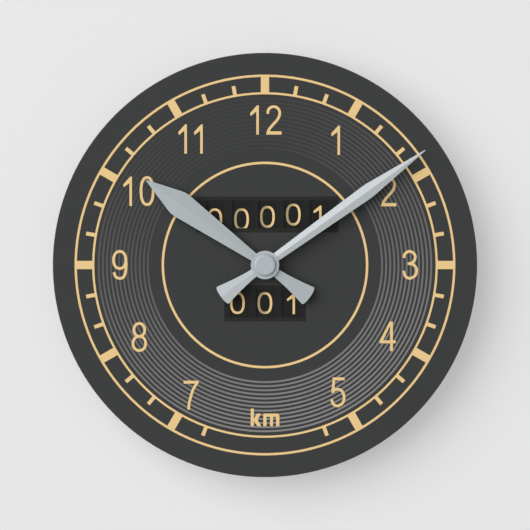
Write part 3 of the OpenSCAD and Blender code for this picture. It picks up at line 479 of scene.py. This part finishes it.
def lettered(text, gap):
    # sets the figures of one text side by side; returns the shapes and the whole width
    shapes, x = [], 0.0
    for letter in text:
        for kind, form in figureShapes[letter]:
            shapes.append((kind, np.asarray(form, float) + (x, 0)))
        x += figureWidth[letter] + gap
    return shapes, x - gap


# Hour numerals: middle of each text's box from the spindle and the gap between its figures, in millimetres
hourNumerals = {
    "front": inkFront - 0.03 * mm, "height": 14.4,
    "places": {"12": (0.44, 69.63, 3.17), "1": (33.8, 59.9, 0), "2": (59.1, 35.3, 0), "3": (69.45, 0.1, 0),
               "4": (58.65, -34.0, 0), "5": (34.82, -60.98, 0), "7": (-35.43, -62.38, 0),
               "8": (-60.16, -34.45, 0), "9": (-69.4, 0.05, 0), "10": (-60.34, 35.5, 3.59),
               "11": (-35.69, 60.5, 3.38)},
}
for text, (x, z, gap) in hourNumerals["places"].items():
    shapes, width = lettered(text, gap)
    inkPiece("numeral_" + text, shapes, (x - width / 2, z - hourNumerals["height"] / 2),
             hourNumerals["front"], "creamInk")

# The unit, bold and lower case
unitMark = {"text": "km", "gap": 0.9, "middle": 0.02, "foot": -77.15}
shapes, width = lettered(unitMark["text"], unitMark["gap"])
inkPiece("unit_mark", shapes, (unitMark["middle"] - width / 2, unitMark["foot"]), hourNumerals["front"],
         "creamInk")

# Counter digits: left edge and foot of each from the spindle, where the drum's edge cuts it off, and its ink;
# the power is the squareness of the round ones
counterDigits = {
    "front": inkFront - 0.05 * mm, "power": 2.4,
    "0": {"height": 10.45, "width": 7.0, "stroke": 1.12},
    "1": {"height": 9.8, "width": 3.9, "stroke": 1.1},
    "upper": [("0", -27.5, 16.65, 17.65, "creamInk"), ("0", -14.73, 16.65, 17.65, "digitInk"),
              ("0", -2.34, 17.82, None, "digitInk"), ("0", 10.05, 18.9, None, "digitInk"),
              ("1", 23.15, 18.6, None, "creamInk")],
    "lower": [("0", -16.7, -23.45, None, "creamInk"), ("0", -3.55, -23.45, None, "digitInk"),
              ("1", 10.43, -23.5, None, "creamInk")],
}
for row in ("upper", "lower"):
    for number, (digit, x, z, floor, ink) in enumerate(counterDigits[row]):
        h, w, s = (counterDigits[digit][key] for key in ("height", "width", "stroke"))
        shapes = figureOne(h, w, s) if digit == "1" else \
            [("loop", oval(w / 2, h / 2, (w - s) / 2, (h - s) / 2, counterDigits["power"]))]
        inkPiece(f"{row}_digit_{number}", shapes, (x, z), counterDigits["front"], ink, s, floor)
print("ink laid:", len(hourNumerals["places"]), "numerals, the unit and",
      len(counterDigits["upper"]) + len(counterDigits["lower"]), "counter digits")


def pictureRays(tree):
    # the ray's kinds, and 1 on rays that the picture shows: straight, mirrored or through something clear
    ray = addNode(tree, "ShaderNodeLightPath")
    looked = addNode(tree, "ShaderNodeMath", {"operation": "MAXIMUM"},
                     {0: ray.outputs["Is Camera Ray"], 1: ray.outputs["Is Glossy Ray"]})
    seen = addNode(tree, "ShaderNodeMath", {"operation": "MAXIMUM"},
                   {0: looked.outputs[0], 1: ray.outputs["Is Transmission Ray"]})
    return ray.outputs, seen.outputs[0]


# The wall: pale paint that glows only for the picture and keeps the clock's shadow, open from behind
wallLook = {"glow": 0.37, "paint": "#B2B2B2", "size": 12.0, "behind": 0.3 * mm}


def wallPaint():
    # matt emulsion; seen from behind, or on a lamp's way, the wall isn't there
    material = bpy.data.materials.new("wallEmulsion")
    material.use_nodes = True
    tree = material.node_tree
    tree.nodes.clear()
    ray, seen = pictureRays(tree)
    side = addNode(tree, "ShaderNodeNewGeometry")
    glow = addNode(tree, "ShaderNodeMath", {"operation": "MULTIPLY", 1: wallLook["glow"]}, {0: seen})
    light = addNode(tree, "ShaderNodeEmission", None, {"Strength": glow.outputs[0]})
    paint = addNode(tree, "ShaderNodeBsdfDiffuse", {"Color": linear(wallLook["paint"])})
    both = addNode(tree, "ShaderNodeAddShader", None, {0: light.outputs[0], 1: paint.outputs[0]})
    openSide = addNode(tree, "ShaderNodeMath", {"operation": "MAXIMUM"},
                       {0: ray["Is Shadow Ray"], 1: side.outputs["Backfacing"]})
    clear = addNode(tree, "ShaderNodeBsdfTransparent")
    mix = addNode(tree, "ShaderNodeMixShader", None,
                  {0: openSide.outputs[0], 1: both.outputs[0], 2: clear.outputs[0]})
    addNode(tree, "ShaderNodeOutputMaterial", None, {"Surface": mix.outputs[0]})
    return material


half = wallLook["size"] / 2
back = wallLook["behind"]
wallMesh = bpy.data.meshes.new("wall")
wallMesh.from_pydata([(-half, back, -half), (half, back, -half), (half, back, half), (-half, back, half)],
                     [], [(0, 1, 2, 3)])
wallMesh.materials.append(wallPaint())
wall = bpy.data.objects.new("wall", wallMesh)
bpy.context.scene.collection.objects.link(wall)

# Lamps: direction the light comes from, clockwise from twelve and away from the wall's normal, in degrees;
# distance from the spindle and size in metres, power in watts
lamps = {
    "key": {"clock": 298, "tilt": 38, "distance": 6.0, "size": 6.4, "power": 344},
    "backLeft": {"clock": 300, "tilt": 140, "distance": 3.0, "size": 2.0, "power": 70},
    "backRight": {"clock": 60, "tilt": 145, "distance": 3.0, "size": 2.0, "power": 60},
}
for name, lamp in lamps.items():
    clock, tilt = np.radians(lamp["clock"]), np.radians(lamp["tilt"])
    way = Vector((np.sin(clock) * np.sin(tilt), -np.cos(tilt), np.cos(clock) * np.sin(tilt)))
    data = bpy.data.lights.new(name, "AREA")
    data.shape, data.size, data.energy = "DISK", lamp["size"], lamp["power"]
    light = bpy.data.objects.new(name, data)
    light.location = spindle + way * lamp["distance"]
    light.rotation_mode = "QUATERNION"
    light.rotation_quaternion = way.to_track_quat("Z", "Y")
    bpy.context.scene.collection.objects.link(light)

# World: a low light, fullest from the room in front, and the wall's own pale tone where a ray looks past it:
# strength = even + front * (share of the way towards the viewer) ^ narrow
worldLook = {"even": 0.12, "front": 0.63, "narrow": 3.0, "backdrop": "#E7E7E7"}
world = bpy.data.worlds.new("studio")
bpy.context.scene.world = world
world.use_nodes = True
tree = world.node_tree
tree.nodes.clear()
seen = pictureRays(tree)[1]
sky = addNode(tree, "ShaderNodeTexCoord")
way = addNode(tree, "ShaderNodeSeparateXYZ", None, {"Vector": sky.outputs["Object"]})
ahead = addNode(tree, "ShaderNodeMapRange", {"From Min": 0.0, "From Max": -1.0}, {"Value": way.outputs["Y"]})
lobe = addNode(tree, "ShaderNodeMath", {"operation": "POWER", 1: worldLook["narrow"]},
               {0: ahead.outputs["Result"]})
level = addNode(tree, "ShaderNodeMath",
                {"operation": "MULTIPLY_ADD", 1: worldLook["front"], 2: worldLook["even"]},
                {0: lobe.outputs[0]})
even = addNode(tree, "ShaderNodeBackground", {"Color": (1, 1, 1, 1)}, {"Strength": level.outputs[0]})
pale = addNode(tree, "ShaderNodeBackground", {"Color": linear(worldLook["backdrop"]), "Strength": 1.0})
mix = addNode(tree, "ShaderNodeMixShader", None, {0: seen, 1: even.outputs[0], 2: pale.outputs[0]})
addNode(tree, "ShaderNodeOutputWorld", None, {"Surface": mix.outputs[0]})
print("wall, lamps and world set")

# Camera: square on; the picture is 253.7 mm wide at the dial
view = {"width": 0.2537, "lens": 200.0, "sensor": 36.0}
camera = bpy.data.objects.new("camera", bpy.data.cameras.new("camera"))
camera.data.lens, camera.data.sensor_width = view["lens"], view["sensor"]
away = view["width"] * view["lens"] / view["sensor"]
camera.location = (spindle.x, inkBack - away, spindle.z)
camera.rotation_euler = (np.pi / 2, 0, 0)
bpy.context.scene.collection.objects.link(camera)
bpy.context.scene.camera = camera
bpy.context.scene.view_settings.view_transform = "Standard"
